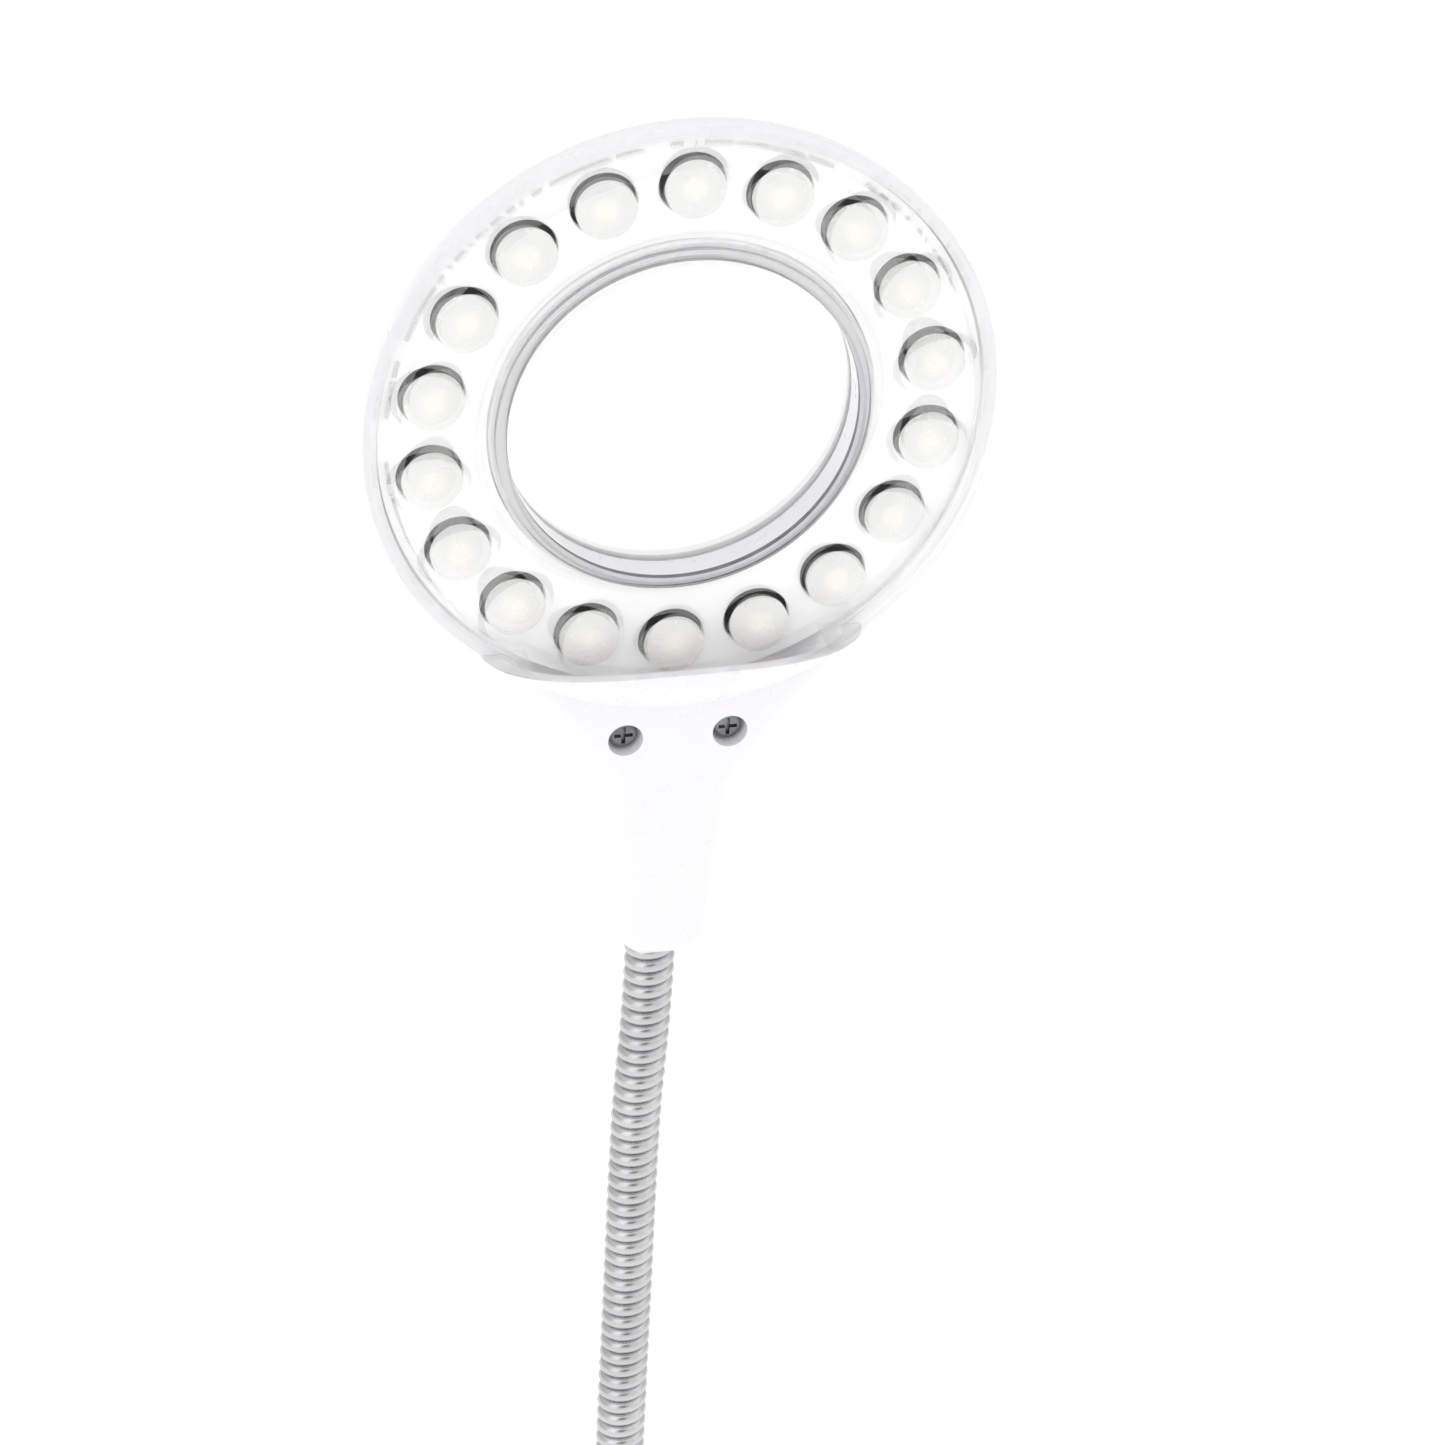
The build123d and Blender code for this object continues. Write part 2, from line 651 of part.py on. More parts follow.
def switch_body():
    """Push switch on the plug's board, with the bore that takes the button's stem."""
    half = SWITCH_SIDE / 2
    top_y = TONGUE_FRONT_Y - SWITCH_HEIGHT
    body = block((-half, half), (top_y, TONGUE_FRONT_Y), (SWITCH_Z - half, SWITCH_Z + half))
    body = fillet(body.edges().filter_by(Axis.Y), 0.4)
    return body - button_place(SWITCH_BORE_R, (top_y - 1, top_y + SWITCH_BORE_DEPTH))


def switch_button():
    """Round push button: cap through the housing, flange inside it, and stem into the switch."""
    inner_y = -HOUSING_HALF_DEPTH + HOUSING_WALL
    flange = (inner_y + CLEARANCE / 2, inner_y + CLEARANCE / 2 + BUTTON_FLANGE)
    stem_end = TONGUE_FRONT_Y - SWITCH_HEIGHT + BUTTON_STEM_INSERTED
    cap = button_place(BUTTON_R, (-HOUSING_HALF_DEPTH - BUTTON_PROUD, flange[0]))
    cap = fillet(cap.edges().sort_by(Axis.Y)[0], BUTTON_EDGE_R)
    return cap + button_place(BUTTON_FLANGE_R, flange) + button_place(BUTTON_STEM_R, (flange[1], stem_end))


def main():
    os.makedirs("parts", exist_ok=True)
    write("ring_cover", ring_cover())
    write("rear_housing", rear_housing())
    write("neck_cover", neck_cover())
    write("neck_screws", *neck_screws())
    write("lens", lens())
    write("lens_ring", lens_ring())
    write("reflector_plate", reflector_plate())
    write("led_board", led_board())
    write("led_bodies", *led_bodies())
    write("led_legs", *led_legs())
    write("chip_resistors", *chip_resistors())
    write("head_ferrule", ferrule(LINK_COUNT - 1, from_start=False))
    for index in range(LINK_COUNT):
        write(f"gooseneck_{index:02d}", gooseneck_link(index))
    write("positive_lead", lead(1))
    write("negative_lead", lead(-1))
    write("usb_ferrule", ferrule(0, from_start=True))
    write("usb_housing_front", usb_housing_front())
    write("usb_housing_back", usb_housing_back())
    write("usb_shell", usb_shell())
    write("usb_tongue", usb_tongue())
    write("usb_contacts", *usb_contacts())
    write("usb_board", usb_board())
    write("switch_body", switch_body())
    write("switch_button", switch_button())


main()
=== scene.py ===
"""Looks of the magnifying lamp: clear ring cover, lens, LEDs, wound gooseneck, and a soft white studio."""

import json
from math import acos, cos, degrees, pi, radians, sin, tau

import bmesh
import bpy
from mathutils import Matrix, Vector

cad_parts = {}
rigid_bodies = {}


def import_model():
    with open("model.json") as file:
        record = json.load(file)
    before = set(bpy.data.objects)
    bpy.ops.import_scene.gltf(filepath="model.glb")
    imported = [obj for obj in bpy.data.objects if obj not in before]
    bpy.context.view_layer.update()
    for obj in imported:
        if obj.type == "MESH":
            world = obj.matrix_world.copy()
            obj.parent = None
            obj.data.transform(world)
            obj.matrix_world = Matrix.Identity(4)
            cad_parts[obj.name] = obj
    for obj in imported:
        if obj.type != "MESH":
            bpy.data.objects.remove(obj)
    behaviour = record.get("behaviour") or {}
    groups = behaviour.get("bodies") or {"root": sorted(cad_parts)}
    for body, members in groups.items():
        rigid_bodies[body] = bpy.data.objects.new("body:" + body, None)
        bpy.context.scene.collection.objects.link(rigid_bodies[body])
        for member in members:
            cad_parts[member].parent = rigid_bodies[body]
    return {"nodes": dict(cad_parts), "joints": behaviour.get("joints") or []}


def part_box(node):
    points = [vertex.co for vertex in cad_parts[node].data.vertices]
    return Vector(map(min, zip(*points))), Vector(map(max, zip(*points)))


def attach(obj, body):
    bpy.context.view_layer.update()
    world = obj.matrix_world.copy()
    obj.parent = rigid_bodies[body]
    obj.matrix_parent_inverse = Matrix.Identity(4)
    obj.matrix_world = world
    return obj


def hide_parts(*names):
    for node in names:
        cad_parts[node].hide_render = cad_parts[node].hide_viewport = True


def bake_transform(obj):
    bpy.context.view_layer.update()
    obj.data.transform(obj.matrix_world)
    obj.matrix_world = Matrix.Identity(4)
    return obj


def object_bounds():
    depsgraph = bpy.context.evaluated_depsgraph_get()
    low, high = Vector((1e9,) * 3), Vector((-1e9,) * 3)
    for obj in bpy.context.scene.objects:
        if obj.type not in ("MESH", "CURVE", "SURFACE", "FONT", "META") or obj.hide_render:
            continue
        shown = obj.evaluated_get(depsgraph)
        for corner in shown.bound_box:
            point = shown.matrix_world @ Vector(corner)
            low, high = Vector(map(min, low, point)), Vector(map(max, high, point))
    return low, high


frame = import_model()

CAD_BOUNDS = [list(corner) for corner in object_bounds()]
MM = 0.001
TINY = 1e-6
WELD = 1e-7

# ---------------------------------------------------------------- places, from the frame

LENS_LOW, LENS_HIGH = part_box("lens")
COVER_LOW, COVER_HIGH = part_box("ring_cover")
LEDS_LOW, LEDS_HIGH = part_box("led_bodies")
LENS_BACK_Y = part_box("lens_ring")[0].y  # back of the lens's rim, where its ring starts
RING = Vector(((LENS_LOW.x + LENS_HIGH.x) / 2, 0, (LENS_LOW.z + LENS_HIGH.z) / 2))
SEAM_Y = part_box("rear_housing")[0].y
RING_OUTER_R = (COVER_HIGH.x - COVER_LOW.x) / 2
TUBE_R = SEAM_Y - COVER_LOW.y
TUBE_CIRCLE_R = RING_OUTER_R - TUBE_R
HOLE_R = TUBE_CIRCLE_R - TUBE_R
LENS_R = (LENS_HIGH.x - LENS_LOW.x) / 2

BENDS = [Vector(joint["pos_m"]) for joint in frame["joints"] if joint["type"] == "hinge"]
BEND_BODIES = [(joint["parent"], joint["child"]) for joint in frame["joints"] if joint["type"] == "hinge"]
LINK_LENGTH = BENDS[1].z - BENDS[0].z
NECK_LOW_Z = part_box("gooseneck_00")[0].z
NECK_HIGH_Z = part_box(f"gooseneck_{len(BENDS):02d}")[1].z
FIRST_LINK_LOW, FIRST_LINK_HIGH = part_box("gooseneck_01")
NECK_R = (FIRST_LINK_HIGH.x - FIRST_LINK_LOW.x) / 2


RING_STEPS = 192
SHARP_DEGREES = 35  # edges that turn by more than this stay sharp
LENS_SHARP_DEGREES = 40
LEAD_SHARP_DEGREES = 50


# ---------------------------------------------------------------- helpers

def add_mesh(name, vertices, faces, smooth=True):
    mesh = bpy.data.meshes.new(name)
    mesh.from_pydata([tuple(v) for v in vertices], [], faces)
    if smooth:
        mesh.shade_smooth()
    thing = bpy.data.objects.new(name, mesh)
    bpy.context.scene.collection.objects.link(thing)
    return thing


def arc(centre, radius, start_degrees, end_degrees, steps):
    """Points of an arc in a section, both ends included."""
    points = []
    for step in range(steps + 1):
        angle = radians(start_degrees + (end_degrees - start_degrees) * step / steps)
        points.append((centre[0] + radius * cos(angle), centre[1] + radius * sin(angle)))
    return points


def lathe_parts(section, steps, closed):
    """Vertices and faces of a section (R, y) turned about Y; closed joins its last point to its first."""
    count = len(section)
    vertices = []
    for step in range(steps):
        turn = tau * step / steps
        vertices += [Vector((r * cos(turn), y, r * sin(turn))) for r, y in section]
    faces = []
    for step in range(steps):
        here, there = step * count, (step + 1) % steps * count
        for index in range(count if closed else count - 1):
            following = (index + 1) % count
            faces.append((here + index, here + following, there + following, there + index))
    if not closed:
        faces.append([step * count for step in range(steps)])
        faces.append([step * count + count - 1 for step in reversed(range(steps))])
    return vertices, faces


def lathe(name, section, centre, steps=RING_STEPS, closed=True, sharp_degrees=None):
    vertices, faces = lathe_parts(section, steps, closed)
    thing = add_mesh(name, [v + centre for v in vertices], faces)
    tidy_normals(thing)
    if sharp_degrees:
        thing.data.set_sharp_from_angle(angle=radians(sharp_degrees))
    return thing


def tidy_normals(thing):
    """Turns all faces outwards."""
    work = bmesh.new()
    work.from_mesh(thing.data)
    bmesh.ops.recalc_face_normals(work, faces=work.faces)
    work.to_mesh(thing.data)
    work.free()


def paint(thing, material):
    thing.data.materials.clear()
    thing.data.materials.append(material)


def paint_node(name, material):
    """Gives a CAD node its material, through its object's slots."""
    node = frame["nodes"][name]
    if not node.material_slots:
        node.data.materials.append(material)
    for place in node.material_slots:
        place.link = "OBJECT"
        place.material = material


# ---------------------------------------------------------------- materials

NOISE_RANGE = (0.3, 0.7)  # the part of a noise's values that is spread over a look's range
METAL_MOTTLE = 8  # how many times coarser a metal's colour varies than its grain
MATT_MOTTLE = 4
GRAIN_STRENGTH = 0.4


class Look:
    """One procedural material: a Principled shader, and the nodes that feed it."""

    def __init__(self, name, colour, **values):
        self.material = bpy.data.materials.new(name)
        self.material.use_nodes = True
        self.tree = self.material.node_tree
        self.shader = self.tree.nodes["Principled BSDF"]
        self.colour = (*colour, 1)
        self.shader.inputs["Base Color"].default_value = self.colour
        for socket, value in values.items():
            self.shader.inputs[socket.replace("_", " ")].default_value = value

    def node(self, kind, **values):
        made = self.tree.nodes.new(kind)
        for name, value in values.items():
            if hasattr(made, name):
                setattr(made, name, value)
            else:
                made.inputs[name.replace("_", " ")].default_value = value
        return made

    def link(self, output, target):
        self.tree.links.new(output, target)

    def noise(self, scale, detail=3.0, stretch=(1, 1, 1)):
        """Noise in the row frame, with its scale in features per metre."""
        place = self.node("ShaderNodeTexCoord")
        mapping = self.node("ShaderNodeMapping", Scale=stretch)
        noise = self.node("ShaderNodeTexNoise", Scale=scale, Detail=detail)
        self.link(place.outputs["Object"], mapping.inputs["Vector"])
        self.link(mapping.outputs["Vector"], noise.inputs["Vector"])
        return noise.outputs["Fac"]

    def spread(self, value, low, high):
        """A value from 0 to 1 spread from low to high."""
        stretch = self.node("ShaderNodeMapRange")
        self.link(value, stretch.inputs["Value"])
        stretch.inputs["From Min"].default_value, stretch.inputs["From Max"].default_value = NOISE_RANGE
        stretch.inputs["To Min"].default_value = low
        stretch.inputs["To Max"].default_value = high
        return stretch.outputs["Result"]

    def glow(self, colour, strength):
        self.shader.inputs["Emission Color"].default_value = (*colour, 1)
        self.shader.inputs["Emission Strength"].default_value = strength
        return self

    def vary_roughness(self, value, low, high):
        self.link(self.spread(value, low, high), self.shader.inputs["Roughness"])
        return self

    def vary_colour(self, value, other):
        """Mixes the base colour towards another one."""
        mix = self.node("ShaderNodeMix", data_type="RGBA")
        colour_a = [s for s in mix.inputs if s.name == "A" and s.type == "RGBA"][0]
        colour_b = [s for s in mix.inputs if s.name == "B" and s.type == "RGBA"][0]
        colour_a.default_value = self.colour
        colour_b.default_value = (*other, 1)
        self.link(self.spread(value, 0, 1), mix.inputs["Factor"])
        result = [s for s in mix.outputs if s.type == "RGBA"][0]
        self.link(result, self.shader.inputs["Base Color"])
        return self

    def bumps(self, value, height, strength=1.0):
        """Relief of this height, in metres."""
        bump = self.node("ShaderNodeBump", Strength=strength, Distance=height)
        self.link(value, bump.inputs["Height"])
        self.link(bump.outputs["Normal"], self.shader.inputs["Normal"])
        return self


def white_plastic():
    look = Look("white_moulded_plastic", (0.87, 0.855, 0.88), IOR=1.5)
    # painted light: a faint glow that brightens the white shell where it lies in shade, though it is no lamp
    look.glow((1, 1, 1), 0.04)
    look.vary_colour(look.noise(40), (0.885, 0.875, 0.89))
    look.vary_roughness(look.noise(500), 0.27, 0.30)
    return look.material


def clear_plastic():
    """Refraction mixed with plain see-through, so that daylight reaches what lies under the cover."""
    look = Look("clear_cover_plastic", (1.0, 0.998, 1.0), Transmission_Weight=1.0, IOR=1.2, Alpha=0.22)
    look.vary_roughness(look.noise(220), 0.02, 0.06)
    look.bumps(look.noise(110, detail=1), 0.0001, 0.2)
    return look.material


def seam_shadow():
    """Painted seam shadow: a dark band on the cover's edge round the hole, standing for the shade in the
    narrow joint with the shell.
    """
    look = Look("painted_seam_shadow", (0.05, 0.05, 0.06), Alpha=0.8)
    look.vary_colour(look.noise(300), (0.12, 0.12, 0.14))
    look.vary_roughness(look.noise(600), 0.3, 0.5)
    return look.material


def lens_plastic():
    look = Look("polished_lens", (0.995, 1.0, 0.995), Transmission_Weight=1.0, IOR=1.49, Alpha=0.35)
    look.vary_roughness(look.noise(60), 0.0, 0.008)
    return look.material


def led_resin():
    look = Look("led_resin", (0.97, 0.965, 0.94), Transmission_Weight=0.2, IOR=1.4)
    look.glow((1, 0.99, 0.93), 0.1)
    look.vary_roughness(look.noise(800), 0.15, 0.3)
    return look.material


def led_barrel():
    look = Look("led_clear_barrel", (0.97, 0.97, 0.95), Transmission_Weight=1.0, IOR=1.1, Alpha=0.2)
    look.vary_roughness(look.noise(800), 0.05, 0.15)
    return look.material


def phosphor():
    look = Look("led_phosphor", (0.93, 0.80, 0.25))
    look.vary_colour(look.noise(6000), (0.97, 0.88, 0.42))
    look.vary_roughness(look.noise(4000), 0.45, 0.65)
    return look.material


def reflector_white():
    look = Look("reflector_plate_white", (0.97, 0.965, 0.97))
    # painted light: the plate glows so that it stays bright in the shade under the cover, though it is no
    # lamp
    look.glow((1, 1, 1), 0.16)
    look.vary_roughness(look.noise(1500), 0.35, 0.5)
    look.bumps(look.noise(2000), 0.000005, 0.1)
    return look.material


def metal(name, colour, other, rough, scale, stretch=(1, 1, 1), height=0.000004):
    look = Look(name, colour, Metallic=1.0)
    grain = look.noise(scale, stretch=stretch)
    look.vary_colour(look.noise(scale / METAL_MOTTLE), other)
    look.vary_roughness(grain, *rough)
    look.bumps(grain, height, GRAIN_STRENGTH)
    return look.material


def matt(name, colour, other, rough, scale, height=0.00001):
    look = Look(name, colour)
    look.vary_colour(look.noise(scale / MATT_MOTTLE), other)
    look.vary_roughness(look.noise(scale), *rough)
    look.bumps(look.noise(scale), height, GRAIN_STRENGTH)
    return look.material


# ---------------------------------------------------------------- camera, world and lights

VIEW_AZIMUTH = radians(-14.9)
VIEW_ELEVATION = radians(29.27)
VIEW_ROLL = radians(2.8)
VIEW_DISTANCE = 0.8
VIEW_LENS = 165.6
VIEW_SENSOR = 36
AIM_RIGHT = 0.00487  # the camera looks at a point this far beside and below the ring's centre
AIM_DOWN = 0.03688


def add_camera():
    back = Vector((
        sin(VIEW_AZIMUTH) * cos(VIEW_ELEVATION), -cos(VIEW_AZIMUTH) * cos(VIEW_ELEVATION), sin(VIEW_ELEVATION)
    ))
    right = Vector((0, 0, 1)).cross(back).normalized()
    up = back.cross(right)
    rolled_right = right * cos(VIEW_ROLL) + up * sin(VIEW_ROLL)
    rolled_up = up * cos(VIEW_ROLL) - right * sin(VIEW_ROLL)
    place = RING + back * VIEW_DISTANCE
    aim = RING + rolled_right * AIM_RIGHT - rolled_up * AIM_DOWN
    z_axis = (place - aim).normalized()
    x_axis = rolled_up.cross(z_axis).normalized()
    y_axis = z_axis.cross(x_axis)
    data = bpy.data.cameras.new("camera")
    data.lens = VIEW_LENS
    data.sensor_width = VIEW_SENSOR
    camera = bpy.data.objects.new("camera", data)
    camera.matrix_world = Matrix.Translation(place) @ Matrix((x_axis, y_axis, z_axis)).transposed().to_4x4()
    bpy.context.scene.collection.objects.link(camera)
    bpy.context.scene.camera = camera
    return back


WORLD_STRENGTH = 1.0
CAMERA_PATCH = (radians(24), radians(9), 0.25)  # its edge, its middle, and the share of light left there
SIDE_PATCH = (radians(50), radians(15), 0.8)
REAR_PATCH = (radians(85), radians(30), 0.7)


def add_world(back):
    """White all round, dimmer behind the camera, at the sides and at the rear, to edge white shapes."""
    world = bpy.data.worlds.new("studio")
    world.use_nodes = True
    bpy.context.scene.world = world
    tree = world.node_tree
    background = tree.nodes["Background"]
    background.inputs["Color"].default_value = (1, 1, 1, 1)
    coordinates = tree.nodes.new("ShaderNodeTexCoord")

    def shade_towards(direction, edge, middle, share):
        """Light left in each direction, from all of it outside a patch down to its share in the middle."""
        facing = tree.nodes.new("ShaderNodeVectorMath")
        facing.operation = "DOT_PRODUCT"
        facing.inputs[1].default_value = direction
        shade = tree.nodes.new("ShaderNodeMapRange")
        shade.interpolation_type = "SMOOTHSTEP"
        shade.inputs["From Min"].default_value = cos(edge)
        shade.inputs["From Max"].default_value = cos(middle)
        shade.inputs["To Min"].default_value = 1.0
        shade.inputs["To Max"].default_value = share
        tree.links.new(coordinates.outputs["Generated"], facing.inputs[0])
        tree.links.new(facing.outputs["Value"], shade.inputs["Value"])
        return shade.outputs["Result"]

    strength = tree.nodes.new("ShaderNodeValue")
    strength.outputs[0].default_value = WORLD_STRENGTH
    light = strength.outputs[0]
    left, right, rear = Vector((-1, 0, 0)), Vector((1, 0, 0)), Vector((0, 1, 0))
    patches = ((back, CAMERA_PATCH), (left, SIDE_PATCH), (right, SIDE_PATCH), (rear, REAR_PATCH))
    for direction, patch in patches:
        product = tree.nodes.new("ShaderNodeMath")
        product.operation = "MULTIPLY"
        tree.links.new(shade_towards(direction, *patch), product.inputs[0])
        tree.links.new(light, product.inputs[1])
        light = product.outputs[0]
    tree.links.new(light, background.inputs["Strength"])


SOFTBOXES = {  # place, size and power
    "left_softbox": ((-0.9, -0.5, 0.7), (0.8, 1.2), 1.5),
    "right_softbox": ((0.9, -0.4, 0.6), (0.6, 1.2), 0.6),
    "top_softbox": ((0, 0.1, 1.4), (1.2, 1.2), 1.5),
}


def add_light(name, place, size, power):
    data = bpy.data.lights.new(name, "AREA")
    data.shape = "RECTANGLE"
    data.size, data.size_y = size
    data.energy = power
    light = bpy.data.objects.new(name, data)
    light.location = place
    light.rotation_mode = "QUATERNION"
    light.rotation_quaternion = (RING - Vector(place)).to_track_quat("-Z", "Y")
    bpy.context.scene.collection.objects.link(light)


FLOOR_HALF_SIDE = 6.0
FLOOR_DROP = 0.25  # the lamp is held by its plug: the floor is clear of the head however the neck bends


def add_floor():
    low_z = CAD_BOUNDS[0][2] - FLOOR_DROP
    side = FLOOR_HALF_SIDE
    corners = [(-side, -side, low_z), (side, -side, low_z), (side, side, low_z), (-side, side, low_z)]
    floor = add_mesh("floor", corners, [(0, 1, 2, 3)], smooth=False)
    look = Look("pale_floor", (0.9, 0.9, 0.9), Roughness=0.8)
    look.glow((1, 1, 1), 0.3)
    look.vary_colour(look.noise(3), (0.92, 0.92, 0.92))
    paint(floor, look.material)


# ---------------------------------------------------------------- ring head

COVER_WALL = 1.4 * MM
COVER_SEAM = 0.8 * MM  # height of the band at the cover's lower edge; round the hole it carries the painted seam shadow
COVER_FOOT_Y = SEAM_Y - 0.02 * MM  # a hair above the shell, so that the two faces stay apart
LIP_INNER_R = 36.0 * MM
LIP_OUTER_R = 37.5 * MM
COVER_OUTER_STEPS = 48
COVER_INNER_STEPS = 36


def cut_level(work, z, keep_above):
    """Cuts a mesh at a level plane, keeps one side of it and closes the cut."""
    bmesh.ops.bisect_plane(
        work, geom=work.verts[:] + work.edges[:] + work.faces[:], plane_co=(0, 0, z), plane_no=(0, 0, 1),
        clear_outer=not keep_above, clear_inner=keep_above,
    )
    bmesh.ops.holes_fill(work, edges=[e for e in work.edges if e.is_boundary], sides=0)


def ring_cover(material, seam_shadow_material):
    """Half a hollow tube turned round the ring, with a lip that drops into the shell, cut at the handle."""
    inner_r = TUBE_R - COVER_WALL
    centre = (TUBE_CIRCLE_R, COVER_FOOT_Y)
    lip_angle = -90 + (90 - degrees(acos((LIP_INNER_R - TUBE_CIRCLE_R) / inner_r)))
    section = arc(centre, TUBE_R, 0, -180, COVER_OUTER_STEPS)
    section[1] = (RING_OUTER_R, COVER_FOOT_Y - COVER_SEAM)
    section[-2] = (HOLE_R, COVER_FOOT_Y - COVER_SEAM)
    inside = arc(centre, inner_r, -180, lip_angle, COVER_INNER_STEPS)
    inside[1] = (HOLE_R + COVER_WALL, COVER_FOOT_Y - COVER_SEAM)
    section += inside
    section += [(LIP_INNER_R, COVER_HIGH.y), (LIP_OUTER_R, COVER_HIGH.y), (LIP_OUTER_R, COVER_FOOT_Y)]
    cover = lathe("ring_cover_clear", section, RING)
    work = bmesh.new()
    work.from_mesh(cover.data)
    cut_level(work, COVER_LOW.z, keep_above=True)
    work.to_mesh(cover.data)
    work.free()
    cover.data.set_sharp_from_angle(angle=radians(SHARP_DEGREES))
    paint(cover, material)
    cover.data.materials.append(seam_shadow_material)
    # the band's faces beside the hole take the painted seam shadow
    seam_middle_y = COVER_FOOT_Y - COVER_SEAM / 2
    for face in cover.data.polygons:
        beside_hole = (face.center - RING).length < TUBE_CIRCLE_R
        if beside_hole and abs(face.center.y - seam_middle_y) < TINY:
            face.material_index = 1
    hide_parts("ring_cover")
    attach(cover, "head")


LENS_RIM = 1.5 * MM
LENS_EDGE_GAP = 0.1 * MM  # between the hole and the edge of the lens's faces
LENS_STEPS = 24


def face_arc(sag, edge):
    """Radius of a lens's face and the angle its arc turns through, in degrees."""
    radius = (edge**2 + sag**2) / (2 * sag)
    return radius, degrees(acos((radius - sag) / radius))


def magnifying_lens(material):
    """Double-convex lens with a flat rim."""
    edge = HOLE_R - LENS_EDGE_GAP
    rim_front_y = LENS_BACK_Y - LENS_RIM
    front_r, front_turn = face_arc(rim_front_y - LENS_LOW.y, edge)
    back_r, back_turn = face_arc(LENS_HIGH.y - LENS_BACK_Y, edge)
    front = arc((0, LENS_LOW.y + front_r), front_r, -90, -90 + front_turn, LENS_STEPS)
    back = arc((0, LENS_HIGH.y - back_r), back_r, 90 - back_turn, 90, LENS_STEPS)
    section = front + [(LENS_R, rim_front_y), (LENS_R, LENS_BACK_Y)] + back
    section = [(max(r, TINY), y) for r, y in section]
    lens = lathe("lens_polished", section, RING, closed=False, sharp_degrees=LENS_SHARP_DEGREES)
    paint(lens, material)
    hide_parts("lens")
    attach(lens, "head")


LED_COUNT = 18
LED_CIRCLE_R = 31.3 * MM
LED_R = 3.7 * MM
LED_FLANGE_R = 3.95 * MM
LED_FLANGE = 1.0 * MM
LED_CAP = 1.2 * MM
LED_MILKY = 2.1 * MM  # length of the diffusing front of the LED, behind which its barrel is clear
LED_FLAT = 3.75 * MM  # distance from the LED's axis to the flat on its flange
LED_CUP_BELOW_CAP = 0.9 * MM
LED_CUP_R = 1.2 * MM
LED_CUP_FLOOR_R = 0.6 * MM
LED_CUP_DEPTH = 0.6 * MM
LED_CUP_WALL = 0.15 * MM
LED_BAR = 0.6 * MM  # height of the bar that carries the cup out to its leg
LED_LEG_SPREAD = 1.27 * MM
LED_LEG_HALF = (0.3 * MM, 0.25 * MM)
LED_STEPS = 40
LED_CAP_STEPS = 10
CUP_STEPS = 24
GLOW_LIFT = 0.05  # height of the phosphor's underside in its cup, as a share of the cup's depth
GLOW_FLOOR_R = LED_CUP_FLOOR_R * 0.97
GLOW_EDGE_R = LED_CUP_R * 0.96
GLOW_EDGE_DROP = 0.03 * MM  # from the cup's brim
GLOW_SHOULDER_R = LED_CUP_R * 0.5
GLOW_SHOULDER_RISE = 0.1 * MM
GLOW_RISE = 0.14 * MM


def led_places():
    """A matrix for each LED: local X along the ring, Y along its axis, Z away from the ring's centre."""
    for index in range(LED_COUNT):
        angle = pi / 2 + tau * index / LED_COUNT
        place = RING + Vector((LED_CIRCLE_R * cos(angle), 0, LED_CIRCLE_R * sin(angle)))
        yield Matrix.Translation(place) @ Matrix.Rotation(pi / 2 - angle, 4, "Y")


def repeated(name, shape, material, node=None):
    """One piece that holds a copy of a shape (vertices, faces) at each LED."""
    vertices, faces = [], []
    for place in led_places():
        first = len(vertices)
        vertices += [place @ Vector(v) for v in shape[0]]
        faces += [[first + index for index in face] for face in shape[1]]
    piece = add_mesh(name, vertices, faces)
    tidy_normals(piece)
    piece.data.set_sharp_from_angle(angle=radians(SHARP_DEGREES))
    paint(piece, material)
    if node:
        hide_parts(node)
    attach(piece, "head")
    return piece


def box_shape(x_span, y_span, z_span):
    corners = [(x, y, z) for x in x_span for y in y_span for z in z_span]
    faces = [(0, 1, 3, 2), (4, 6, 7, 5), (0, 4, 5, 1), (2, 3, 7, 6), (0, 2, 6, 4), (1, 5, 7, 3)]
    return corners, faces


def joined(*shapes):
    vertices, faces = [], []
    for shape in shapes:
        first = len(vertices)
        vertices += [Vector(v) for v in shape[0]]
        faces += [[first + index for index in face] for face in shape[1]]
    return vertices, faces


